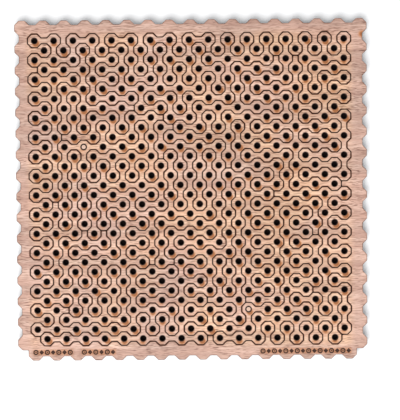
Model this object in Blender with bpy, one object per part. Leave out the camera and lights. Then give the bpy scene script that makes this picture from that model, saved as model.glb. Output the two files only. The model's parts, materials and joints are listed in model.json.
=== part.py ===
"""Lattice jigsaw puzzle: a scalloped wooden tray filled with loose pieces of octagon cells.

Metres, +Z up. The puzzle lies flat, face up. +X runs along its rows and +Y from the near
edge to the far edge. The origin is in the middle of the underside of the backing board.
"""

import math

import bmesh
import bpy
from mathutils import Vector

# ---------------------------------------------------------------- driving sizes
PITCH = 0.008235           # from one cell to the next along a row
BORDER = 0.0062            # width of the frame outside the outermost cells
PATTERN_LEFT = 0.0006      # how far the cuts lie to the left of the frame's middle
PATTERN_FAR = 0.00035      # and how far towards the far edge
KERF = 0.0003              # width of the laser cut between two pieces
LAYER = 0.0030             # thickness of the frame and of the pieces
BACKING = 0.0020           # thickness of the board under them
GLUE_GAP = 0.0003          # clearance between the board and what lies on it
HOLE_DIAMETER = 0.0025     # round hole through a cell
SLUG_CLEARANCE = 0.0003    # between a hole and the disc left in it
HOLE_SIDES = 16

# ---------------------------------------------------------------- the cut plan
# The sheet is tiled with octagon cells, and a small square lies wherever four of them meet.
# One sign is one tile, half a pitch from the next:
#   o  a cell          @  a cell whose round hole still holds its disc
#   -  a square that joins the cells left and right of it; its other two sides are cut
#   |  a square that joins the cells above and below it
#   < > ^ v  a square that joins only the neighbour it points to
#   +  a corner square that belongs to the frame
# A square on the rim joins the frame where it has no cell. Two cells side by side on the
# slant are always cut apart.
CUT_PLAN = """
o-o|o-o|o-o|o-o|o-o|o|o|o|o|o|o|o
-o|o|o|o>o|o|o|o|o^o|o|o|o|o|o|o|
o-o-o|o-o|o|o|o-o|o-o-o-ovovo-o-o
<o-o-o|o-o|o|o|o|o-o|o-o-o|o|o-o-
o-o-o|o-o|o-o|o|o|o|o|o-o-o|o|o-o
-o|o-o|o-o-o-o-o-o|o|o|o-o-o|o|o-
o-o|o|o-o-o|o-o|o-o-o|o-o-o|o-o-o
-o|o|o-o-o<o-o|o|o-o-o-o-o|o-o|o-
o-o|o|o-o|o-o<o-o|o|o-o-o-o|o-o-o
-o|o|o|o|o|o|o<o-o|o|o|o-o-o-o-o|
o-o>o-o|o-o|o|o-o-o-o|o-o-o|o-o-o
-o|o-@-o-o-o|o-o-o-o|o-o-o-o-o-o|
o-o|o|o-o-o-o^o|o|o|o|o-o-o|o-o-o
-o|o|o|o|o|o|o|o|o|o^o-o-o|o-o-o|
o-o|o|o|o|o|o|o|o|o|o-o-o|o|o-o-o
-o|o|o-o-o-o-o|o|o|o|o|o-o|o-o-o>
o-o|o|o-o-o-o|o|o|o|o|o-o>o-o-o-o
-ovo|o|o-o|o-o|o|o|o|o|o-o-o-o|o-
o-o|o|o|o-o-o-o-o-o|o|o-o|o-o|o-o
-o|o|o|o|o-o|o-o-o-o|o|o-o|o-o|o-
o-o-ovovo|o-o|o-o-o|o|o-o|o-o^o-o
-o|o-o-o|o-o|o|o-o-o|o|o-o|o-o|o-
o-o|o-o-o|o-o|o-o-o-o|o-o|o-o|o-o
-o|o-o-o-o-o^o<o-o|ovo|o-o|o-o|o-
o-o|o|o|o|o-o-o|o-o|o|o-o|o-o|o-o
-o|o|o|o|o|o-o-o-o|o|o|o-o|o-o|o-
o-o-o-o-o|o-o-o|o-o|o|o-o|o-o>o-o
-o-o|o|o|o|o-o-o-o>o-o>o-o|o-o|o|
o-o<o|o|o|o-o-o|o-o-o|@-o-o-o|o|o
-o|o-o-o-o|o|o|o-o|o-o|o-o-o-o-o|
o-o-o-o-o-o|o|o|o-o-o-o|o|o|o|o|o
+o-o-o-o-o-o-o-o-ovo-o-o|o|o|o|o+
"""

# ---------------------------------------------------------------- signs of the plan
ROWS = CUT_PLAN.split()
ROW_COUNT = len(ROWS)
COLUMN_COUNT = len(ROWS[0])
SIGNS = {(column, row): sign for row, line in enumerate(ROWS) for column, sign in enumerate(line)}
CELL_SIGNS = "o@"
SLUG_SIGN = "@"
FRAME_CORNER = "+"
LEFT, RIGHT, ABOVE, BELOW = (-1, 0), (1, 0), (0, -1), (0, 1)
JOINS = {
    "-": (LEFT, RIGHT),
    "|": (ABOVE, BELOW),
    "<": (LEFT,),
    ">": (RIGHT,),
    "^": (ABOVE,),
    "v": (BELOW,),
    FRAME_CORNER: (BELOW,),
}
RIM = "rim"                # stands for the frame outside the plan

# ---------------------------------------------------------------- worked out sizes
PITCH_TO_FLATS = 1 / math.sqrt(2)          # an octagon's flats, as a share of the pitch
SIDE_TO_FLATS = math.tan(math.pi / 8)      # an octagon's side, as a share of its flats
REACH_IN_PITCHES = (COLUMN_COUNT - 1) / 4 + PITCH_TO_FLATS / 2
SCALLOP_PITCH = PITCH + BORDER / REACH_IN_PITCHES
EDGE_GRID = (SCALLOP_PITCH, Vector((0, 0, 0)))                   # pitch and middle of the tiling
CELL_GRID = (PITCH, Vector((-PATTERN_LEFT, PATTERN_FAR, 0)))
LAYER_BOTTOM = BACKING + GLUE_GAP
LAYER_TOP = LAYER_BOTTOM + LAYER
CUT_REACH = 0.001          # how far a cutter passes beyond what it cuts
SAME_CORNER = 1e-5         # corners closer than this are one corner

VENEER_COLOUR = (0.66, 0.44, 0.32, 1.0)
BACKING_COLOUR = (0.05, 0.03, 0.02, 1.0)
WOOD_ROUGHNESS = 0.7


def clear_scene():
    for old in list(bpy.data.objects):
        bpy.data.objects.remove(old, do_unlink=True)


def wood(name, colour):
    material = bpy.data.materials.new(name)
    material.use_nodes = True
    shader = material.node_tree.nodes["Principled BSDF"]
    shader.inputs["Base Color"].default_value = colour
    shader.inputs["Roughness"].default_value = WOOD_ROUGHNESS
    shader.inputs["Metallic"].default_value = 0.0
    return material


# ---------------------------------------------------------------- reading the plan
def link_tiles():
    """For each tile, the tiles that no cut parts it from."""
    links = {spot: [] for spot in SIGNS}
    links[RIM] = []
    for spot, sign in SIGNS.items():
        for step in JOINS.get(sign, ()):
            neighbour = (spot[0] + step[0], spot[1] + step[1])
            if neighbour not in links:
                neighbour = RIM
            links[spot].append(neighbour)
            links[neighbour].append(spot)
    return links


def tiles_joined_to(start, links):
    found = {start}
    waiting = [start]
    while waiting:
        for neighbour in links[waiting.pop()]:
            if neighbour not in found:
                found.add(neighbour)
                waiting.append(neighbour)
    return found


def sort_into_pieces():
    """The loose pieces, each a list of tiles, in reading order of their first cells."""
    links = link_tiles()
    taken = tiles_joined_to(RIM, links)
    pieces = []
    for spot, sign in SIGNS.items():
        if sign in CELL_SIGNS and spot not in taken:
            tiles = tiles_joined_to(spot, links)
            taken |= tiles
            pieces.append(sorted(tiles, key=lambda tile: (tile[1], tile[0])))
    return pieces


# ---------------------------------------------------------------- flat shapes
def tile_centre(spot, grid):
    pitch, middle = grid
    columns = (spot[0] - (COLUMN_COUNT - 1) / 2) / 2
    rows = ((ROW_COUNT - 1) / 2 - spot[1]) / 2
    return middle + Vector((columns * pitch, rows * pitch, 0))


def tile_corners(spot, grid):
    """An octagon for a cell and a square for any other sign, anticlockwise."""
    sides = 8 if SIGNS[spot] in CELL_SIGNS else 4
    side = grid[0] * PITCH_TO_FLATS * SIDE_TO_FLATS
    radius = side / 2 / math.sin(math.pi / sides)
    centre = tile_centre(spot, grid)
    turns = [(corner + 0.5) / sides * math.tau for corner in range(sides)]
    return [centre + radius * Vector((math.cos(turn), math.sin(turn), 0)) for turn in turns]


def region(spots, grid):
    """One flat face that covers the given tiles."""
    bm = bmesh.new()
    for spot in spots:
        bm.faces.new([bm.verts.new(corner) for corner in tile_corners(spot, grid)])
    bmesh.ops.remove_doubles(bm, verts=bm.verts, dist=SAME_CORNER)
    bmesh.ops.dissolve_faces(bm, faces=bm.faces)
    return bm


def draw_in(bm, distance):
    """Move a flat region's outline in by a distance, or out by a negative one."""
    rim = bmesh.ops.inset_region(
        bm, faces=bm.faces, thickness=distance, use_boundary=True, use_even_offset=True
    )
    bmesh.ops.delete(bm, geom=rim["faces"], context="FACES")


def thicken(bm, bottom, top):
    """Make a flat region a slab between two heights."""
    bmesh.ops.translate(bm, verts=bm.verts, vec=(0, 0, bottom))
    made = bmesh.ops.extrude_face_region(bm, geom=bm.faces[:])
    upper = [item for item in made["geom"] if isinstance(item, bmesh.types.BMVert)]
    bmesh.ops.translate(bm, verts=upper, vec=(0, 0, top - bottom))
    bmesh.ops.recalc_face_normals(bm, faces=bm.faces)


def disc(radius, bottom, top):
    bm = bmesh.new()
    bmesh.ops.create_cone(
        bm, cap_ends=True, segments=HOLE_SIDES, radius1=radius, radius2=radius, depth=top - bottom
    )
    bmesh.ops.translate(bm, verts=bm.verts, vec=(0, 0, (top + bottom) / 2))
    return bm


# ---------------------------------------------------------------- objects
def add_object(name, bm, material, origin=Vector((0, 0, 0)), parent=None):
    """An object whose mesh is drawn round its own origin."""
    mesh = bpy.data.meshes.new(name)
    bm.to_mesh(mesh)
    bm.free()
    mesh.materials.append(material)
    thing = bpy.data.objects.new(name, mesh)
    bpy.context.scene.collection.objects.link(thing)
    place(thing, origin, parent)
    return thing


def add_empty(name, origin, parent=None):
    empty = bpy.data.objects.new(name, None)
    bpy.context.scene.collection.objects.link(empty)
    place(empty, origin, parent)
    return empty


def place(thing, origin, parent):
    """Put an object at a place in the world, under a parent that isn't turned or scaled."""
    thing.parent = parent
    thing.location = origin - world_origin(parent)


def world_origin(thing):
    if thing is None:
        return Vector((0, 0, 0))
    return thing.location + world_origin(thing.parent)


def cut(thing, cutter):
    cutter.hide_render = True
    cutter.display_type = "WIRE"
    modifier = thing.modifiers.new("cut_" + cutter.name, "BOOLEAN")
    modifier.operation = "DIFFERENCE"
    modifier.solver = "EXACT"
    modifier.object = cutter


# ---------------------------------------------------------------- the parts
def make_backing(tray, material):
    """The board glued under the frame, with the same scalloped edge."""
    outline = [spot for spot, sign in SIGNS.items() if sign != FRAME_CORNER]
    bm = region(outline, EDGE_GRID)
    thicken(bm, 0, BACKING)
    return add_object("backing_board", bm, material, parent=tray)


def make_frame(tray, pieces, material):
    """The scalloped frame: the whole sheet less the pocket that the loose pieces fill."""
    outline = [spot for spot, sign in SIGNS.items() if sign != FRAME_CORNER]
    bm = region(outline, EDGE_GRID)
    thicken(bm, LAYER_BOTTOM, LAYER_TOP)
    frame = add_object("frame", bm, material, parent=tray)
    pocket = region([spot for piece in pieces for spot in piece], CELL_GRID)
    draw_in(pocket, -KERF / 2)
    thicken(pocket, LAYER_BOTTOM - CUT_REACH, LAYER_TOP + CUT_REACH)
    cut(frame, add_object("pocket_cutter", pocket, material, parent=tray))
    return frame


def middle_cell(tiles):
    """The cell of a piece that is nearest to the middle of its cells."""
    cells = [tile for tile in tiles if SIGNS[tile] in CELL_SIGNS]
    middle = sum((tile_centre(cell, CELL_GRID) for cell in cells), Vector((0, 0, 0))) / len(cells)
    return min(cells, key=lambda cell: (tile_centre(cell, CELL_GRID) - middle).length)


def make_piece(name, tiles, tray, material):
    """A loose piece, which lifts straight up out of the frame."""
    origin = tile_centre(middle_cell(tiles), CELL_GRID) + Vector((0, 0, LAYER_BOTTOM))
    bm = region(tiles, CELL_GRID)
    draw_in(bm, KERF / 2)
    thicken(bm, 0, LAYER)
    bmesh.ops.translate(bm, verts=bm.verts, vec=(-origin.x, -origin.y, 0))
    return add_object(name, bm, material, origin, tray)


def leave_slug(name, spot, piece, material):
    """A cell's round hole, with the cut-out disc still in it."""
    centre = tile_centre(spot, CELL_GRID) + Vector((0, 0, LAYER_BOTTOM))
    bore = disc(HOLE_DIAMETER / 2, -CUT_REACH, LAYER + CUT_REACH)
    cut(piece, add_object(name + "_cutter", bore, material, centre, piece))
    slug = disc(HOLE_DIAMETER / 2 - SLUG_CLEARANCE, 0, LAYER)
    return add_object(name, slug, material, centre, piece)


def build():
    clear_scene()
    veneer = wood("veneer", VENEER_COLOUR)
    dark_board = wood("dark_board", BACKING_COLOUR)
    tray = add_empty("tray", Vector((0, 0, 0)))
    pieces = sort_into_pieces()
    make_backing(tray, dark_board)
    make_frame(tray, pieces, veneer)
    slug_count = 0
    for number, tiles in enumerate(pieces, start=1):
        piece = make_piece(f"puzzle_piece_{number:02d}", tiles, tray, veneer)
        for spot in tiles:
            if SIGNS[spot] == SLUG_SIGN:
                slug_count += 1
                leave_slug(f"hole_slug_{slug_count}", spot, piece, veneer)


build()
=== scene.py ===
# %% [markdown]
# # A lattice jigsaw puzzle in wood
# The real thing is a hand-sized sheet of thin plywood with a pale face veneer, which a laser has cut
# into branching pieces. They lie in a scalloped frame that is glued to a dark board. This lesson
# loads the measured solids and gives each its fine shape: round holes, burnt edges, grain, engraving.

# %% Load the measured solids
import json
import math

import bmesh
import bpy
from mathutils import Euler, Matrix, Vector
from mathutils.bvhtree import BVHTree


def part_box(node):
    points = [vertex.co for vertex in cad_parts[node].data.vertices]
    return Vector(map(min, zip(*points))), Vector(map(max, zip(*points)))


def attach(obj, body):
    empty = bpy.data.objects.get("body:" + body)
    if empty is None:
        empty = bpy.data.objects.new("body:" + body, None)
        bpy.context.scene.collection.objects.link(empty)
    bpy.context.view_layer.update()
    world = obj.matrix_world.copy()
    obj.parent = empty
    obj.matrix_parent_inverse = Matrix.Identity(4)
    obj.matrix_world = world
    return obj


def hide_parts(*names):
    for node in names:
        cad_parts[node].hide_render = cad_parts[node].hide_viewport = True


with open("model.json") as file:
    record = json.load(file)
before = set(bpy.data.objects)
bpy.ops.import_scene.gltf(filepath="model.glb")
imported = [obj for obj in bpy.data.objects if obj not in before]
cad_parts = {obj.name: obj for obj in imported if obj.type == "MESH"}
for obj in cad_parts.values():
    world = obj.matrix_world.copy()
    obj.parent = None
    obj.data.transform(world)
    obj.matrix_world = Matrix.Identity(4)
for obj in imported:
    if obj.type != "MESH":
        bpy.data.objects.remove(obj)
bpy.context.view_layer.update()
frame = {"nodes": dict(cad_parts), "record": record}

# %% [markdown]
# ## Sizes
# The solids say where everything is. Two round plugs still sit in their holes, and both lie in the
# middle of a cell, so the distance between them gives the pitch of the whole lattice.

# %% Read the lattice from the solids
MM = 0.001


def middle_of(cad_node):
    low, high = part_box(cad_node)
    return (low + high) / 2


FIRST_PLUG = middle_of("hole_slug_1")
SECOND_PLUG = middle_of("hole_slug_2")
PITCHES_BETWEEN_PLUGS = 8.5
PITCH = (SECOND_PLUG.x - FIRST_PLUG.x) / PITCHES_BETWEEN_PLUGS
HALF_PITCH = PITCH / 2
FRAME_LOW, FRAME_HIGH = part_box("frame")
SHEET_BOTTOM, SHEET_TOP = FRAME_LOW.z, FRAME_HIGH.z
print("pitch mm:", round(PITCH / MM, 3), "sheet mm:", round((SHEET_TOP - SHEET_BOTTOM) / MM, 2))

# %% [markdown]
# The main rows hold 17 cells each, and the offset rows between them, half a pitch over and down,
# hold 16. The first plug tells where the first cell is.

# %% Lay out the cell centres
COLUMNS, ROWS = 17, 16
COLUMNS_LEFT_OF_PLUG, ROWS_ABOVE_PLUG = 2.5, 5.5
FIRST_CELL = Vector((
    FIRST_PLUG.x - COLUMNS_LEFT_OF_PLUG * PITCH,
    FIRST_PLUG.y + ROWS_ABOVE_PLUG * PITCH,
    0,
))
LATTICE_HALF_WIDTH = (COLUMNS - 1) * HALF_PITCH
LATTICE_HALF_HEIGHT = (ROWS - 0.5) * HALF_PITCH
LATTICE_MIDDLE = FIRST_CELL + Vector((LATTICE_HALF_WIDTH, -LATTICE_HALF_HEIGHT, 0))


def cell_centres():
    """The middle of every cell at the top of the sheet, row by row."""
    centres = []
    for row in range(ROWS):
        for column in range(COLUMNS):
            centres.append(FIRST_CELL + Vector((column * PITCH, -row * PITCH, SHEET_TOP)))
        for column in range(COLUMNS - 1):
            step = Vector(((column + 0.5) * PITCH, -(row + 0.5) * PITCH, SHEET_TOP))
            centres.append(FIRST_CELL + step)
    return centres


CENTRES = cell_centres()
print("cells:", len(CENTRES))

# %% [markdown]
# ## Helpers for materials
# Colours are written as sRGB hex values, as a colour picker shows them, and one function turns them
# to the linear values that Cycles works in. One more adds any shader node, sets its options, fills
# or links its sockets, and hands back the output that the next node needs. A Mix node has a set of
# sockets for each kind of data, so those in use get names here, as do settings that nodes share.

# %% Colours and nodes


def linear(hex_colour):
    """A hex colour such as E0B8A0 as linear red, green, blue and alpha."""
    parts = [int(hex_colour[start:start + 2], 16) / 255 for start in (0, 2, 4)]
    return tuple(p / 12.92 if p <= 0.04045 else ((p + 0.055) / 1.055) ** 2.4 for p in parts) + (1.0,)


def add(tree, kind, inputs, output=0, **settings):
    """Adds a node, and fills or links its sockets, given in order or by name."""
    made = tree.nodes.new("ShaderNode" + kind)
    for name, value in settings.items():
        setattr(made, name, value)
    for socket, value in inputs.items() if isinstance(inputs, dict) else enumerate(inputs):
        if isinstance(value, bpy.types.NodeSocket):
            tree.links.new(value, made.inputs[socket])
        else:
            made.inputs[socket].default_value = value
    return made.outputs[output]


def new_material(name, roughness):
    """A material with one Principled shader, its node tree and the shader."""
    material = bpy.data.materials.new(name)
    material.use_nodes = True
    shader = material.node_tree.nodes["Principled BSDF"]
    shader.inputs["Roughness"].default_value = roughness
    return material, material.node_tree, shader


SHARE = 0
FROM_VECTOR, TO_VECTOR, FROM, TO = 4, 5, 6, 7
VECTOR = {"data_type": "VECTOR", "output": 1}
COLOUR = {"data_type": "RGBA", "output": 2}
SOFT = {"interpolation_type": "SMOOTHSTEP"}
print("mid grey is", linear("808080")[0])

# %% [markdown]
# ## The veneer
# The face is a pale, pinkish beech-like veneer, sanded and left bare. Short dark pores lie in rows
# along the grain, between softer bands, and wide darker bands are the year rings. The pieces come
# from one sheet, so the grain runs on over every cut, and all patterns read the shared Object
# coordinates. A noise that is squeezed across the grain makes streaks.

# %% Streaks along the grain
# the length of each streak along the grain and its width across it, in millimetres
BENDS = (26, 12)
BANDS = (30, 2.6)
FIBRES = (7, 0.55)
PORES = (3.0, 0.26)
PORE_CROWDS = (14, 6)
YEAR_RINGS = (50, 7)


def streaks(tree, coords, size, seed, detail=2.0, roughness=0.5):
    """Noise in streaks along X, of a length and width in millimetres, from about 0.2 to 0.8."""
    length, width = size
    scale = (1 / (length * MM), 1 / (width * MM), 1 / (length * MM))
    place = add(tree, "Mapping", {"Vector": coords, "Location": seed, "Scale": scale})
    inputs = {"Vector": place, "Scale": 1.0, "Detail": detail, "Roughness": roughness}
    return add(tree, "TexNoise", inputs)


print("pores mm:", PORES, "year rings mm:", YEAR_RINGS)

# %% [markdown]
# The colour is built up in layers, from wide to fine: soft bands, fibres and pores, which crowd in
# some places. The year rings only change how light it is. A slow noise bends all of them a little,
# because a tree is never quite straight.

# %% Colour of the bare wood
PALE_WOOD = linear("D8B8A3")
PINK_WOOD = linear("BF9783")
FIBRE_WOOD = linear("B6917C")
PORE_BROWN = linear("785240")
BEND = 0.8 * MM


def wood_colour(tree, coords):
    """The bare wood, without any heat, and its pores for the bump."""
    sway = streaks(tree, coords, BENDS, (0, 0, 0), detail=1.0)
    sway = add(tree, "MapRange", (sway, 0.3, 0.7, -BEND, BEND))
    sway = add(tree, "CombineXYZ", (0.0, sway, 0.0))
    bent = add(tree, "VectorMath", (coords, sway), operation="ADD")
    bands = streaks(tree, bent, BANDS, (5, 3, 0), detail=4.0, roughness=0.65)
    share = add(tree, "MapRange", (bands, 0.3, 0.7, 0.0, 1.0), **SOFT)
    colour = add(tree, "Mix", {SHARE: share, FROM: PINK_WOOD, TO: PALE_WOOD}, **COLOUR)
    fibres = streaks(tree, bent, FIBRES, (3, 7, 1), detail=3.0, roughness=0.65)
    share = add(tree, "MapRange", (fibres, 0.42, 0.62, 0.0, 0.8), **SOFT)
    colour = add(tree, "Mix", {SHARE: share, FROM: colour, TO: FIBRE_WOOD}, **COLOUR)
    pores = streaks(tree, bent, PORES, (11, 2, 5), detail=1.0)
    crowding = streaks(tree, bent, PORE_CROWDS, (1, 9, 4), detail=1.0)
    crowding = add(tree, "MapRange", (crowding, 0.35, 0.65, 0.45, 0.95), **SOFT)
    share = add(tree, "MapRange", (pores, 0.54, 0.64, 0.0, 1.0), **SOFT)
    share = add(tree, "Math", (share, crowding), operation="MULTIPLY")
    colour = add(tree, "Mix", {SHARE: share, FROM: colour, TO: PORE_BROWN}, **COLOUR)
    rings = streaks(tree, bent, YEAR_RINGS, (2, 6, 3), detail=2.0)
    tone = add(tree, "MapRange", (rings, 0.35, 0.65, 0.875, 1.105), **SOFT)
    return add(tree, "HueSaturation", {"Value": tone, "Color": colour}), pores


print("palest wood:", [round(part, 2) for part in PALE_WOOD[:3]])

# %% [markdown]
# ## Heat of the laser
# Cells are a little creamier than the border. Each hole has an orange scorch on one side, where the
# air jet blew the flame: mostly the near side, with a random turn and strength per cell. To know its
# cell, the material snaps a point to two square lattices, half a pitch apart, and keeps the nearer.

# %% Find the nearest hole
GAP_ROUND_PLUG = 0.3 * MM
HOLE_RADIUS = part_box("hole_slug_1")[1].x - FIRST_PLUG.x + GAP_ROUND_PLUG


def nearest_hole(tree, flat):
    """The step from the nearest cell's middle to a point, and that middle."""
    found = []
    half = Vector((HALF_PITCH, HALF_PITCH, 0))
    for corner in (FIRST_CELL, FIRST_CELL + Vector((HALF_PITCH, -HALF_PITCH, 0))):
        shifted = add(tree, "VectorMath", (flat, corner - half), operation="SUBTRACT")
        start = add(tree, "VectorMath", (shifted, (PITCH, PITCH, 1.0)), operation="SNAP")
        inside = add(tree, "VectorMath", (shifted, start), operation="SUBTRACT")
        step = add(tree, "VectorMath", (inside, half), operation="SUBTRACT")
        middle = add(tree, "VectorMath", (start, corner), operation="ADD")
        far = add(tree, "VectorMath", (step,), "Value", operation="LENGTH")
        found.append((step, middle, far))
    (step, middle, far), (other_step, other_middle, other_far) = found
    nearer = add(tree, "Math", (other_far, far), operation="LESS_THAN")
    step = add(tree, "Mix", {SHARE: nearer, FROM_VECTOR: step, TO_VECTOR: other_step}, **VECTOR)
    middle = add(tree, "Mix", {SHARE: nearer, FROM_VECTOR: middle, TO_VECTOR: other_middle}, **VECTOR)
    return step, middle


print("hole radius mm:", round(HOLE_RADIUS / MM, 3))

# %% [markdown]
# The border has no holes, but the snapping goes on past the last cell. A mask is 1 inside a rectangle
# and fades to 0 outside it. Given a point, it parts the warm wood of the cells from the border, with
# a wide soft change. Given a cell's middle, it parts the real cells from those that the snapping adds.

# %% Mask the border
CELL_REACH = 0.36 * PITCH   # how far past the outermost middles the warm wood goes
MIDDLE_REACH = 0.1 * PITCH
HEAT_FADE = 2.4 * MM


def inside_box(tree, spot, middle, half_width, half_height, fade):
    """1 inside a rectangle and 0 outside it, with a soft rim."""
    away = add(tree, "VectorMath", (spot, middle), operation="SUBTRACT")
    away = add(tree, "VectorMath", (away,), operation="ABSOLUTE")
    across = add(tree, "SeparateXYZ", (away,), "X")
    along = add(tree, "SeparateXYZ", (away,), "Y")
    sides = add(tree, "MapRange", (across, half_width - fade, half_width + fade, 1.0, 0.0), **SOFT)
    ends = add(tree, "MapRange", (along, half_height - fade, half_height + fade, 1.0, 0.0), **SOFT)
    return add(tree, "Math", (sides, ends), operation="MULTIPLY")


print("warm wood reaches past the middles by mm:", round((CELL_REACH + HEAT_FADE) / MM, 1))

# %% [markdown]
# The scorch is one soft spot beside the hole, orange at its rim and brown in its core. White noise
# on the cell's middle gives every cell a direction and a strength of its own. The tints are factors
# on the colour of the wood: the border saw less heat, so it is duller and pinker than the cells.

# %% Scorch beside the holes
BORDER_TINT = (0.865, 0.84, 0.878, 1.0)
COOL_CELLS = (0.945, 0.935, 0.985, 1.0)
WARM_CELLS = (1.07, 1.015, 0.875, 1.0)
SCORCH_ORANGE = linear("AE6A2E")
SCORCH_BROWN = linear("66330F")
CUT_BROWN = linear("6E3914")
SOOT = linear("2A1207")
JET_LEAN = (0.5, 1.3, 0.5)   # taken off three random numbers, so most scorches lie towards -Y
SEED_SPREAD = 977   # makes the cells' middles differ enough for the white noise
SPOT_DISTANCE = 1.3 * MM
SPOT_CORE, SPOT_RIM = 0.1 * MM, 2.1 * MM


def scorch_share(tree, step, middle):
    """How strongly a point is scorched, from 0 to 1."""
    seed = add(tree, "VectorMath", (middle, (SEED_SPREAD, SEED_SPREAD, 0)), operation="MULTIPLY")
    direction = add(tree, "TexWhiteNoise", {"Vector": seed}, "Color")
    strength = add(tree, "TexWhiteNoise", {"Vector": seed}, "Value")
    direction = add(tree, "VectorMath", (direction, JET_LEAN), operation="SUBTRACT")
    direction = add(tree, "VectorMath", (direction, (1, 1, 0)), operation="MULTIPLY")
    direction = add(tree, "VectorMath", (direction,), operation="NORMALIZE")
    reach = (SPOT_DISTANCE, SPOT_DISTANCE, 0)
    spot = add(tree, "VectorMath", (direction, reach), operation="MULTIPLY")
    away = add(tree, "VectorMath", (step, spot), "Value", operation="DISTANCE")
    near = add(tree, "MapRange", (away, SPOT_CORE, SPOT_RIM, 1.0, 0.0), **SOFT)
    strength = add(tree, "MapRange", (strength, 0.0, 1.0, 0.15, 2.25))
    return add(tree, "Math", (near, strength), operation="MULTIPLY", use_clamp=True)


print("scorch reaches mm:", round((SPOT_DISTANCE + SPOT_RIM) / MM, 1))

# %% [markdown]
# The heat lies over the wood in three steps. A cloudy tint, warmer towards +X, colours the cells.
# The scorch comes next, and one notch of the rim is scorched too. Last, soot blackens the wood round
# each hole, and is gone after 0.4 mm.

# %% Lay heat, scorch and soot over the wood
HEAT_PATCH = 28 * MM
SOOT_BLACK, SOOT_GONE = HOLE_RADIUS + 0.08 * MM, HOLE_RADIUS + 0.4 * MM
NOTCH_SCORCH = Vector((FRAME_HIGH.x - 2.0 * MM, FRAME_HIGH.y - 6.7 * MM, 0))
NOTCH_CORE, NOTCH_RIM = 0.6 * MM, 2.2 * MM


def laser_marks(tree, flat, colour):
    """Heat, scorch and soot over the colour of the wood."""
    step, middle = nearest_hole(tree, flat)
    warm, real = [
        inside_box(
            tree, spot, LATTICE_MIDDLE, LATTICE_HALF_WIDTH + reach, LATTICE_HALF_HEIGHT + reach, fade,
        )
        for spot, reach, fade in ((flat, CELL_REACH, HEAT_FADE), (middle, MIDDLE_REACH, MIDDLE_REACH))
    ]
    cloudy = add(tree, "TexNoise", {"Vector": flat, "Scale": 1 / HEAT_PATCH, "Detail": 2.0})
    cloudy = add(tree, "MapRange", (cloudy, 0.38, 0.62, -0.1, 0.75))
    across = add(tree, "SeparateXYZ", (flat,), "X")
    across = add(tree, "MapRange", (across, -LATTICE_HALF_WIDTH, LATTICE_HALF_WIDTH, 0.0, 0.4))
    cloudy = add(tree, "Math", (cloudy, across), operation="ADD", use_clamp=True)
    tint = add(tree, "Mix", {SHARE: cloudy, FROM: COOL_CELLS, TO: WARM_CELLS}, **COLOUR)
    tint = add(tree, "Mix", {SHARE: warm, FROM: BORDER_TINT, TO: tint}, **COLOUR)
    both = {SHARE: 1.0, FROM: colour, TO: tint}
    colour = add(tree, "Mix", both, blend_type="MULTIPLY", **COLOUR)
    scorch = add(tree, "Math", (scorch_share(tree, step, middle), real), operation="MULTIPLY")
    notch = add(tree, "VectorMath", (flat, NOTCH_SCORCH), "Value", operation="DISTANCE")
    notch = add(tree, "MapRange", (notch, NOTCH_CORE, NOTCH_RIM, 0.95, 0.0), **SOFT)
    scorch = add(tree, "Math", (scorch, notch), operation="MAXIMUM")
    colour = add(tree, "Mix", {SHARE: scorch, FROM: colour, TO: SCORCH_ORANGE}, **COLOUR)
    deep = add(tree, "MapRange", (scorch, 0.7, 1.0, 0.0, 0.5), **SOFT)
    colour = add(tree, "Mix", {SHARE: deep, FROM: colour, TO: SCORCH_BROWN}, **COLOUR)
    far = add(tree, "VectorMath", (step,), "Value", operation="LENGTH")
    soot = add(tree, "MapRange", (far, SOOT_BLACK, SOOT_GONE, 0.95, 0.0), **SOFT)
    soot = add(tree, "Math", (soot, real), operation="MULTIPLY")
    return add(tree, "Mix", {SHARE: soot, FROM: colour, TO: SOOT}, **COLOUR)


print("soot is gone at mm:", round(SOOT_GONE / MM, 2))

# %% [markdown]
# Along every cut runs a narrow brown line, in places almost black: the mesh carries it as the
# attribute near_cut, which is 1 at the edge of a cut and 0 a third of a millimetre away, and a slow
# noise varies its strength. An orange glow of heat lies round the engraved rows.

# %% Mark the cuts and the engraved rows
CUT_PATCH = 5 * MM
ORNAMENT_Y = FRAME_LOW.y + 3.55 * MM
ORNAMENT_ROWS = ((-68.6, -51.4), (-47.8, -33.0), (29.0, 68.2))   # from X to X, in millimetres
GLOW_HALF_HEIGHT, GLOW_FADE = 1.2 * MM, 0.6 * MM
GLOW_STRENGTH = 0.55


def cut_marks(tree, flat, colour):
    """The brown line along the cuts, and the glow of heat round the engraved rows."""
    for start, end in ORNAMENT_ROWS:
        middle = Vector(((start + end) / 2 * MM, ORNAMENT_Y, 0))
        half_width = (end - start) / 2 * MM
        glow = inside_box(tree, flat, middle, half_width, GLOW_HALF_HEIGHT, GLOW_FADE)
        share = add(tree, "Math", (glow, GLOW_STRENGTH), operation="MULTIPLY")
        colour = add(tree, "Mix", {SHARE: share, FROM: colour, TO: SCORCH_ORANGE}, **COLOUR)
    cut = add(tree, "Attribute", {}, "Fac", attribute_name="near_cut")
    uneven = add(tree, "TexNoise", {"Vector": flat, "Scale": 1 / CUT_PATCH, "Detail": 1.0})
    most = add(tree, "MapRange", (uneven, 0.4, 0.6, 0.35, 1.0), **SOFT)
    share = add(tree, "MapRange", (cut, 0.05, 1.0, 0.0, most), **SOFT)
    return add(tree, "Mix", {SHARE: share, FROM: colour, TO: CUT_BROWN}, **COLOUR)


print("engraved rows:", len(ORNAMENT_ROWS), "at Y mm:", round(ORNAMENT_Y / MM, 2))

# %% [markdown]
# Bare sanded wood is matt, with a roughness near 0.6, and its pores are a few hundredths of a
# millimetre deep, so a small bump is enough for them. The plugs are the same wood, but no flame
# reached their middle, so they are paler and more even.

# %% Veneer materials
SANDED_ROUGHNESS = 0.62
PORE_DEPTH = 0.04 * MM
PLUG_WOOD = linear("C9AA97")


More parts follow.
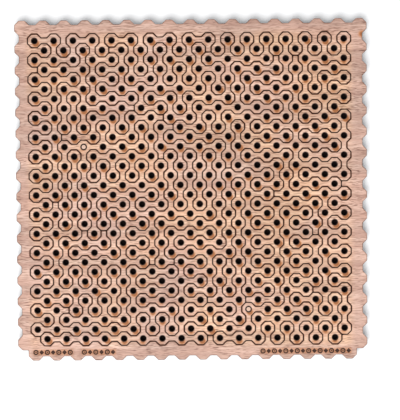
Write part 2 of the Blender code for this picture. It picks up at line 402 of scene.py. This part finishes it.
def make_veneer(name, scorched):
    """Bare veneer, with the laser's marks or without them."""
    material, tree, shader = new_material(name, SANDED_ROUGHNESS)
    coords = add(tree, "TexCoord", {}, "Object")
    colour, pores = wood_colour(tree, coords)
    if scorched:
        flat = add(tree, "VectorMath", (coords, (1, 1, 0)), operation="MULTIPLY")
        colour = cut_marks(tree, flat, laser_marks(tree, flat, colour))
    else:
        colour = add(tree, "Mix", {SHARE: 0.5, FROM: colour, TO: PLUG_WOOD}, **COLOUR)
    tree.links.new(colour, shader.inputs["Base Color"])
    depth = add(tree, "Math", (1.0, pores), operation="SUBTRACT")
    bump = add(tree, "Bump", {"Strength": 0.35, "Distance": PORE_DEPTH, "Height": depth})
    tree.links.new(bump, shader.inputs["Normal"])
    return material


veneer = make_veneer("bare_beech_veneer_laser_scorched", scorched=True)
plug_veneer = make_veneer("bare_beech_veneer_unscorched", scorched=False)
print("materials:", veneer.name, plug_veneer.name)

# %% [markdown]
# ## Burnt edges and engraving
# Where the laser passes it leaves charcoal brown plywood. The three plies still show as faint
# stripes, because their grain burns differently. The char is matt and a bit uneven.

# %% Charred edge
CHAR = linear("1E1009")
BURNT_BROWN = linear("633C25")
PLY_COUNT = 3
CHAR_PATCH = 1.2 * MM
CHAR_DEPTH = 0.05 * MM
CHAR_ROUGHNESS = 0.85


def make_burnt_edge(name):
    """Charred plies, striped by height."""
    material, tree, shader = new_material(name, CHAR_ROUGHNESS)
    coords = add(tree, "TexCoord", {}, "Object")
    height = add(tree, "SeparateXYZ", (coords,), "Z")
    plies = add(tree, "MapRange", (height, SHEET_BOTTOM, SHEET_TOP, 0.0, PLY_COUNT))
    stripe = add(tree, "Math", (plies, 0.5), operation="PINGPONG")
    stripe = add(tree, "MapRange", (stripe, 0.06, 0.3, 0.0, 1.0), **SOFT)
    patchy = add(tree, "TexNoise", {"Vector": coords, "Scale": 1 / CHAR_PATCH, "Detail": 3.0})
    share = add(tree, "MapRange", (patchy, 0.35, 0.7, 0.0, 1.0), **SOFT)
    share = add(tree, "Math", (share, stripe), operation="MULTIPLY")
    colour = add(tree, "Mix", {SHARE: share, FROM: CHAR, TO: BURNT_BROWN}, **COLOUR)
    tree.links.new(colour, shader.inputs["Base Color"])
    bump = add(tree, "Bump", {"Strength": 0.4, "Distance": CHAR_DEPTH, "Height": patchy})
    tree.links.new(bump, shader.inputs["Normal"])
    return material


burnt_edge = make_burnt_edge("plywood_edge_laser_charred")
print("material:", burnt_edge.name)

# %% [markdown]
# Engraving is the same burn, only shallow, so its floor is brown rather than black, and the fibres
# of the wood still show in it.

# %% Engraved floor
ENGRAVED_BROWN = linear("29140B")
ENGRAVED_LIGHT = linear("4A2817")
ENGRAVED_FIBRES = (2.5, 0.4)   # length and width in millimetres
ENGRAVED_ROUGHNESS = 0.8


def make_engraving(name):
    """The brown floor of the engraving, with the wood's fibres showing."""
    material, tree, shader = new_material(name, ENGRAVED_ROUGHNESS)
    coords = add(tree, "TexCoord", {}, "Object")
    share = streaks(tree, coords, ENGRAVED_FIBRES, (7, 1, 0))
    share = add(tree, "MapRange", (share, 0.35, 0.7, 0.0, 1.0))
    colour = add(tree, "Mix", {SHARE: share, FROM: ENGRAVED_BROWN, TO: ENGRAVED_LIGHT}, **COLOUR)
    tree.links.new(colour, shader.inputs["Base Color"])
    return material


engraving = make_engraving("veneer_laser_engraved")
print("material:", engraving.name)

# %% [markdown]
# ## The dark board
# Under the pieces lies thin black-brown hardboard. Its smooth face, which shows through the holes, is
# stained black and dead matt. Its back keeps the print of the wire screen it was pressed on, with
# about one wire per millimetre, and a warmer brown.

# %% Hardboard material
BOARD_BLACK = linear("140907")
BOARD_BROWN = linear("3A251A")
SCREEN_PITCH = 1.1 * MM
SCREEN_DEPTH = 0.08 * MM
BOARD_FIBRE = 0.8 * MM
BOARD_ROUGHNESS, BOARD_SHINE = 0.9, 0.2
BACK_FULL, BACK_GONE = 0.2 * MM, 1.2 * MM   # heights between which the look of the back fades out


def make_hardboard(name):
    """Black and plain on its face, brown with the print of a screen on its back."""
    material, tree, shader = new_material(name, BOARD_ROUGHNESS)
    shader.inputs["Specular IOR Level"].default_value = BOARD_SHINE
    coords = add(tree, "TexCoord", {}, "Object")
    height = add(tree, "SeparateXYZ", (coords,), "Z")
    back = add(tree, "MapRange", (height, BACK_FULL, BACK_GONE, 1.0, 0.0))
    fibre = add(tree, "TexNoise", {"Vector": coords, "Scale": 1 / BOARD_FIBRE, "Detail": 4.0})
    share = add(tree, "MapRange", (fibre, 0.3, 0.7, 0.35, 1.0))
    share = add(tree, "Math", (share, back), operation="MULTIPLY")
    colour = add(tree, "Mix", {SHARE: share, FROM: BOARD_BLACK, TO: BOARD_BROWN}, **COLOUR)
    tree.links.new(colour, shader.inputs["Base Color"])
    waves = Vector((1, 1, 0)) * math.tau / SCREEN_PITCH
    wires = add(tree, "VectorMath", (coords, waves), operation="MULTIPLY")
    wires = add(tree, "VectorMath", (wires,), operation="SINE")
    wires = add(tree, "VectorMath", (wires, (1, 1, 0)), "Value", operation="DOT_PRODUCT")
    wires = add(tree, "Math", (wires, back), operation="MULTIPLY")
    bump = add(tree, "Bump", {"Strength": 0.5, "Distance": SCREEN_DEPTH, "Height": wires})
    tree.links.new(bump, shader.inputs["Normal"])
    return material


hardboard = make_hardboard("hardboard_pressed_dark")
print("material:", hardboard.name)

# %% [markdown]
# ## Cutting the sheet again
# The measured solids have the exact outlines, so each visible piece starts from the rim of its
# solid's upper face, as bare edges. Each solid's mesh is copied and merged first, and the copy loses
# all but its upper face, and then that face too.

# %% Outline of a solid
WELD = 0.005 * MM


def rim_of(cad_node):
    """The outline of a solid's upper face, as bare edges in a new bmesh."""
    bm = bmesh.new()
    bm.from_mesh(frame["nodes"][cad_node].data)
    bmesh.ops.remove_doubles(bm, verts=bm.verts, dist=WELD)
    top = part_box(cad_node)[1].z
    lower = [face for face in bm.faces if face.calc_center_median().z < top - WELD]
    bmesh.ops.delete(bm, geom=lower, context="FACES")
    inner = [edge for edge in bm.edges if len(edge.link_faces) == 2]
    bmesh.ops.delete(bm, geom=bm.faces[:], context="FACES_ONLY")
    bmesh.ops.delete(bm, geom=inner, context="EDGES")
    return bm


def drop_coarse_holes(bm):
    """Removes the solid's own faceted holes round the two plugs."""
    for plug in (FIRST_PLUG, SECOND_PLUG):
        near = [vert for vert in bm.verts if (vert.co.xy - plug.xy).length < HOLE_RADIUS + WELD]
        bmesh.ops.delete(bm, geom=near, context="VERTS")


frame_rim = rim_of("frame")
print("edges of the frame's outline:", len(frame_rim.edges))
frame_rim.free()

# %% [markdown]
# No laser leaves a perfectly sharp corner, so the corners of the outline are eased a little. The
# easing also has to be wide enough for the burnt band along the cut to pass round the corner.

# %% Ease the corners
CORNER_EASE = 0.22 * MM
RIGHT_ANGLE_EASE = 0.4 * MM   # the laser lingers there, so the corner burns rounder
SHARP_TURN = math.radians(60)


def turn_at(vert):
    """The angle by which the outline turns at a corner."""
    one, other = (edge.other_vert(vert).co - vert.co for edge in vert.link_edges)
    return math.pi - one.angle(other)


def ease_corners(bm):
    """Rounds the corners of an outline: those of 45 degrees a little, and right angles more."""
    right = [vert for vert in bm.verts if turn_at(vert) > SHARP_TURN]
    blunt = [vert for vert in bm.verts if vert not in right]
    for verts, ease in ((right, RIGHT_ANGLE_EASE), (blunt, CORNER_EASE)):
        bmesh.ops.bevel(
            bm, geom=verts, affect="VERTICES", offset=ease, offset_type="OFFSET",
            segments=2, profile=0.5, material=-1, clamp_overlap=True,
        )


print("corner ease mm:", round(CORNER_EASE / MM, 2), "to", round(RIGHT_ANGLE_EASE / MM, 2))

# %% [markdown]
# Round holes are added to the outline, and one operator then fills the space between them. The holes
# could be cut with a Boolean, but over five hundred of them take minutes, and filling round circles
# takes no time and leaves clean rims. A ray that looks straight down beside each hole tells which
# cells lie on a piece.

# %% Find the cells of a piece
BESIDE_HOLE = Vector((2.0 * MM, 0, 0))   # from a cell's middle to a point past its hole
DOWN = Vector((0, 0, -1))


def cells_of(cad_node):
    """The cell centres that lie on a solid, found by looking straight down on it."""
    mesh = frame["nodes"][cad_node].data
    tree = BVHTree.FromPolygons([v.co for v in mesh.vertices], [p.vertices for p in mesh.polygons])
    start = BESIDE_HOLE - DOWN
    return [centre for centre in CENTRES if tree.ray_cast(centre + start, DOWN)[0] is not None]


print("cells on the frame:", len(cells_of("frame")))

# %% [markdown]
# Extruding the filled face gives the sheet its depth. Insetting the upper face twice gives first a
# charred, slightly eased edge, and then a band of wood that carries the burn's attribute.

# %% From bare edges to a sheet
HOLE_STEPS = 24
EDGE_EASE = 0.07 * MM
BURN_BAND = 0.34 * MM
CHARRED, ENGRAVED = 1, 2   # places in a piece's list of materials, where the wood is 0


def circle(bm, centre, radius, steps, turn=0.0):
    """Adds a closed loop of edges round a centre, and returns its edges."""
    place = Matrix.Translation(centre) @ Matrix.Rotation(turn, 4, "Z")
    made = bmesh.ops.create_circle(bm, cap_ends=False, segments=steps, radius=radius, matrix=place)
    return list({edge for vert in made["verts"] for edge in vert.link_edges})


def thicken(bm, depth):
    """Gives a flat sheet its depth, downwards, and turns its faces outwards."""
    made = bmesh.ops.extrude_face_region(bm, geom=bm.faces[:])["geom"]
    lowered = [item for item in made if isinstance(item, bmesh.types.BMVert)]
    bmesh.ops.translate(bm, verts=lowered, vec=(0, 0, -depth))
    bmesh.ops.recalc_face_normals(bm, faces=bm.faces[:])


def inset(bm, faces, width):
    """Insets a region and returns the new ring of faces round it."""
    made = bmesh.ops.inset_region(
        bm, faces=faces, thickness=width, use_boundary=True, use_even_offset=True,
    )
    return made["faces"]


def char_upper_edge(bm, burn):
    """Eases and chars the upper edge and the walls, and marks the band of wood beside it."""
    upper = [face for face in bm.faces if face.normal.z > 0.5]
    for face in bm.faces:
        if abs(face.normal.z) < 0.5:
            face.material_index = CHARRED
    eased = inset(bm, upper, EDGE_EASE)
    kept = {vert for face in upper for vert in face.verts}
    outer = {vert for face in eased for vert in face.verts} - kept
    bmesh.ops.translate(bm, verts=list(outer), vec=(0, 0, -EDGE_EASE))
    for face in eased:
        face.material_index = CHARRED
    for vert in kept | outer:
        vert[burn] = 1.0
    inset(bm, upper, BURN_BAND)
    for vert in {vert for face in upper for vert in face.verts}:
        vert[burn] = 0.0


print("burnt band mm:", round(BURN_BAND / MM, 2), "eased edge mm:", round(EDGE_EASE / MM, 2))

# %% [markdown]
# ## Engraved rows
# The border carries two short rows and one long row of engraving under the pieces. Here they are
# plain rings round a dot, and solid lozenges. Their outlines are filled as faces of their own, which
# stay part of the sheet while it is thickened, and are then pushed down a quarter of a millimetre.

# %% Ornaments
ENGRAVED_DEPTH = 0.25 * MM
FIGURE_PITCH = 2.45 * MM
RING_RADII = (1.2 * MM, 0.62 * MM)
DOT_RADIUS = 0.33 * MM
LOZENGE_RADIUS = 1.05 * MM
OCTAGON, LOZENGE = 8, 4   # corners
OCTAGON_TURN = math.radians(22.5)


def draw_ornaments(bm):
    """Draws the rows as bare edges, and returns the loops of the rings and of the solid figures."""
    rings, solids = [], []
    for start, end in ORNAMENT_ROWS:
        count = round((end - start) * MM / FIGURE_PITCH)
        pitch = (end - start) * MM / count
        for index in range(count):
            centre = Vector((start * MM + (index + 0.5) * pitch, ORNAMENT_Y, SHEET_TOP))
            if index % 2:
                solids.append(circle(bm, centre, LOZENGE_RADIUS, LOZENGE))
            else:
                outer, inner = [circle(bm, centre, size, OCTAGON, OCTAGON_TURN) for size in RING_RADII]
                rings.append(outer + inner)
                solids.append(circle(bm, centre, DOT_RADIUS, OCTAGON))
    return rings, solids


def fill_ornaments(bm, rings, solids):
    """Gives the figures faces of their own."""
    faces = []
    for loops in rings:
        faces += bmesh.ops.bridge_loops(bm, edges=loops)["faces"]
    for loop in solids:
        faces += bmesh.ops.edgeloop_fill(bm, edges=loop)["faces"]
    return faces


def engrave(bm, faces):
    """Pushes faces into the sheet, and gives the new hollows their burnt brown."""
    made = bmesh.ops.extrude_face_region(bm, geom=faces)["geom"]
    verts = [item for item in made if isinstance(item, bmesh.types.BMVert)]
    bmesh.ops.translate(bm, verts=verts, vec=(0, 0, -ENGRAVED_DEPTH))
    bmesh.ops.delete(bm, geom=faces, context="FACES_ONLY")
    bmesh.ops.recalc_face_normals(bm, faces=bm.faces[:])
    for face in {face for vert in verts for face in vert.link_faces}:
        face.material_index = ENGRAVED


print("ring mm:", round(2 * RING_RADII[0] / MM, 2), "lozenge mm:", round(2 * LOZENGE_RADIUS / MM, 2))

# %% [markdown]
# ## One visible piece
# All the steps come together in one function, for the frame and for every loose piece. A round
# hole's rim has its own soot in the material, so the burn attribute is cleared there.

# %% Build a piece of the sheet
HOLE_RIM_REACH = HOLE_RADIUS + 0.6 * MM


def clear_burn_near(bm, burn, centres):
    """Takes the burn attribute off the rims of the holes."""
    for centre in centres:
        for vert in bm.verts:
            if vert[burn] and (vert.co.xy - centre.xy).length < HOLE_RIM_REACH:
                vert[burn] = 0.0


def cut_sheet(cad_node, ornaments=False):
    """The bmesh of a piece of the sheet, with a solid's outline and its round holes."""
    centres = cells_of(cad_node)
    bm = rim_of(cad_node)
    burn = bm.verts.layers.float.new("near_cut")
    drop_coarse_holes(bm)
    ease_corners(bm)
    for centre in centres:
        circle(bm, centre, HOLE_RADIUS, HOLE_STEPS)
    rings, solids = draw_ornaments(bm) if ornaments else ([], [])
    bmesh.ops.triangle_fill(bm, use_beauty=True, edges=bm.edges[:], normal=(0, 0, 1))
    marks = fill_ornaments(bm, rings, solids)
    thicken(bm, SHEET_TOP - SHEET_BOTTOM)
    char_upper_edge(bm, burn)
    clear_burn_near(bm, burn, centres)
    if marks:
        engrave(bm, marks)
    return bm


print("burn is cleared round holes to mm:", round(HOLE_RIM_REACH / MM, 2))

# %% [markdown]
# A finished piece takes the place of its solid and moves with that solid's body. Its round walls are
# shaded smooth, and edges that turn by more than 32 degrees stay sharp.

# %% Make a piece an object
SMOOTH_ANGLE = math.radians(32)


def finish_piece(name, bm, materials, cad_node, body):
    """Makes an object of a finished bmesh, and puts it in the place of its solid."""
    mesh = bpy.data.meshes.new(name)
    bm.to_mesh(mesh)
    bm.free()
    for material in materials:
        mesh.materials.append(material)
    mesh.shade_smooth()
    mesh.set_sharp_from_angle(angle=SMOOTH_ANGLE)
    made = bpy.data.objects.new(name, mesh)
    bpy.context.scene.collection.objects.link(made)
    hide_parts(cad_node)
    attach(made, body)
    return made


print("smooth below degrees:", round(math.degrees(SMOOTH_ANGLE)))

# %% [markdown]
# ## The loose pieces
# Twenty-seven pieces lie in the frame, and each one lifts straight out. They take their outlines,
# and the cells that lie on them, from their solids.

# %% Cut the loose pieces
SHEET_MATERIALS = [veneer, burnt_edge, engraving]
BODIES = frame["record"]["behaviour"]["bodies"]
BODY_OF = {cad_node: body for body, members in BODIES.items() for cad_node in members}

for cad_node in sorted(frame["nodes"]):
    if cad_node.startswith("puzzle_piece_"):
        number = cad_node.rsplit("_", 1)[1]
        piece = finish_piece(
            "loose_piece_" + number, cut_sheet(cad_node), SHEET_MATERIALS,
            cad_node, BODY_OF[cad_node],
        )
        print(piece.name, "faces:", len(piece.data.polygons))

# %% [markdown]
# ## The frame
# The frame is cut the same way. Its outer edge is scalloped, its inner edge follows the cells, and
# some cells of the lattice belong to it. Its lower border has the engraved rows.

# %% Cut the frame
scalloped_frame = finish_piece(
    "scalloped_frame", cut_sheet("frame", ornaments=True), SHEET_MATERIALS,
    "frame", BODY_OF["frame"],
)
print(scalloped_frame.name, "faces:", len(scalloped_frame.data.polygons))

# %% [markdown]
# ## The plugs
# In two holes the offcut never fell out: a small disc of the same sheet, with a thin burnt gap
# round it. Each is a filled circle that is extruded and eased like the rest.

# %% Plug the two holes
for cad_node in ("hole_slug_1", "hole_slug_2"):
    low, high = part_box(cad_node)
    middle = middle_of(cad_node)
    radius = high.x - middle.x
    bm = bmesh.new()
    place = Matrix.Translation((middle.x, middle.y, high.z))
    bmesh.ops.create_circle(bm, cap_ends=True, segments=HOLE_STEPS, radius=radius, matrix=place)
    burn = bm.verts.layers.float.new("near_cut")
    thicken(bm, high.z - low.z)
    char_upper_edge(bm, burn)
    plug = finish_piece(
        cad_node.replace("hole_slug", "plug"), bm, [plug_veneer, burnt_edge],
        cad_node, BODY_OF[cad_node],
    )
    print(plug.name, "radius mm:", round(radius / MM, 3))

# %% [markdown]
# ## The board
# The board has the frame's outline. Glue fills the thin gap between the two, so the visible board
# reaches up to the sheet, less a hair.

# %% Lay the board under the frame
GLUE_HAIR = 0.02 * MM
bm = rim_of("backing_board")
ease_corners(bm)
bmesh.ops.triangle_fill(bm, use_beauty=True, edges=bm.edges[:], normal=(0, 0, 1))
board_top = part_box("backing_board")[1].z
bmesh.ops.translate(bm, verts=bm.verts[:], vec=(0, 0, SHEET_BOTTOM - GLUE_HAIR - board_top))
thicken(bm, SHEET_BOTTOM - GLUE_HAIR)
board = finish_piece(
    "dark_board", bm, [hardboard], "backing_board", BODY_OF["backing_board"],
)
print(board.name, "faces:", len(board.data.polygons))

# %% [markdown]
# ## Studio
# The puzzle lies on a wide white table. The table is not attached to any body. The table only
# belongs to the stage, so it is left out of the object's size.

# %% Table
TABLE_HALF_WIDTH = 2.0
TABLE_ROUGHNESS = 0.9

bm = bmesh.new()
bmesh.ops.create_grid(bm, x_segments=1, y_segments=1, size=TABLE_HALF_WIDTH)
table_mesh = bpy.data.meshes.new("white_table")
bm.to_mesh(table_mesh)
bm.free()
table_paint, _, shader = new_material("table_matt_white_paint", TABLE_ROUGHNESS)
shader.inputs["Base Color"].default_value = linear("F4F4F4")
table_mesh.materials.append(table_paint)
table = bpy.data.objects.new("white_table", table_mesh)
bpy.context.scene.collection.objects.link(table)
print(table.name, "width m:", 2 * TABLE_HALF_WIDTH)

# %% [markdown]
# An even white room lights the sheet from all sides. One large soft lamp stands high on the near
# side, so the shadow behind the sheet is short and soft.

# %% Light
ROOM_STRENGTH = 0.82
LAMP_WIDTH = 0.5
LAMP_WATTS = 5.1
LAMP_PLACE = (-0.12, -0.32, 0.72)

scene = bpy.context.scene
scene.view_settings.view_transform = "Standard"
room = bpy.data.worlds.new("white_room")
room.use_nodes = True
background = room.node_tree.nodes["Background"]
background.inputs["Color"].default_value = linear("FCFDFF")
background.inputs["Strength"].default_value = ROOM_STRENGTH
scene.world = room

lamp_data = bpy.data.lights.new("softbox", "AREA")
lamp_data.shape = "RECTANGLE"
lamp_data.size = LAMP_WIDTH
lamp_data.size_y = LAMP_WIDTH
lamp_data.energy = LAMP_WATTS
lamp = bpy.data.objects.new("softbox", lamp_data)
scene.collection.objects.link(lamp)
lamp.location = LAMP_PLACE
lamp.rotation_euler = (-lamp.location).to_track_quat("-Z", "Y").to_euler()
print(lamp.name, "distance m:", round(lamp.location.length, 2))

# %% [markdown]
# The camera looks almost straight down from half a metre, with a long lens, so the sheet keeps its
# straight sides. It is turned by about two degrees, so the sheet sits a little high in the view.

# %% Camera
CAMERA_LENS = 100
CAMERA_SENSOR = 36
CAMERA_PLACE = Vector((6.66, 8.59, 504.1)) * MM
CAMERA_TURN = Euler([math.radians(angle) for angle in (-1.957, 0.337, -0.4315)])

camera_data = bpy.data.cameras.new("camera")
camera_data.lens = CAMERA_LENS
camera_data.sensor_width = CAMERA_SENSOR
camera = bpy.data.objects.new("camera", camera_data)
scene.collection.objects.link(camera)
camera.location = CAMERA_PLACE
camera.rotation_euler = CAMERA_TURN
scene.camera = camera
print(camera.name, "height mm:", round(camera.location.z / MM, 1))
